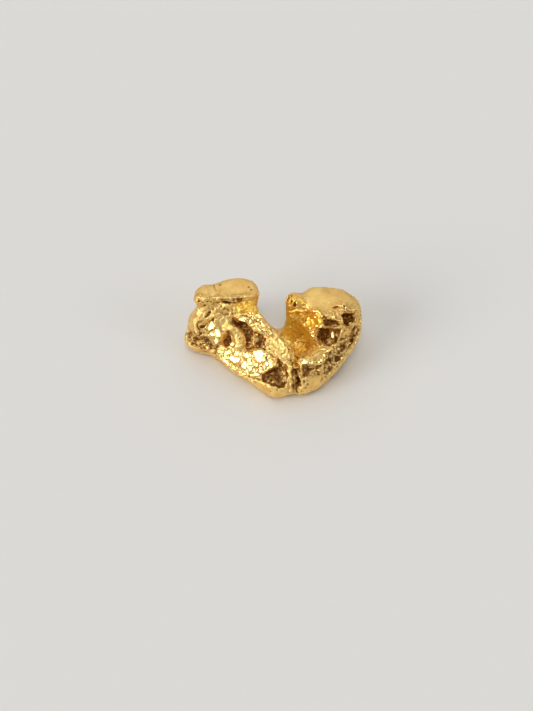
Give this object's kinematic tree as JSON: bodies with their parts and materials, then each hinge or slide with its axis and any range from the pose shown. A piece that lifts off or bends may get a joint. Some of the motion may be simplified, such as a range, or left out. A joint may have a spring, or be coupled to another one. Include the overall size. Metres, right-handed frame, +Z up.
{
  "type": "gold nugget",
  "caption": "Gold nugget of two lumpy limbs that meet at a folded toe, one under an overhanging cap and one domed with a scoop in its side.",
  "frame": {"origin": "centre of the bounding box on X and Y, at the level that the nugget lies on", "axes": "+X along the length, from the left limb to the domed right limb; +Y to the back, away from the folded toe; +Z up"},
  "size_m": [0.0096, 0.0066, 0.0042],
  "materials": {
    "gold": "satin"
  },
  "bodies": {
    "root": {"nugget": "gold"}
  },
  "joints": []
}
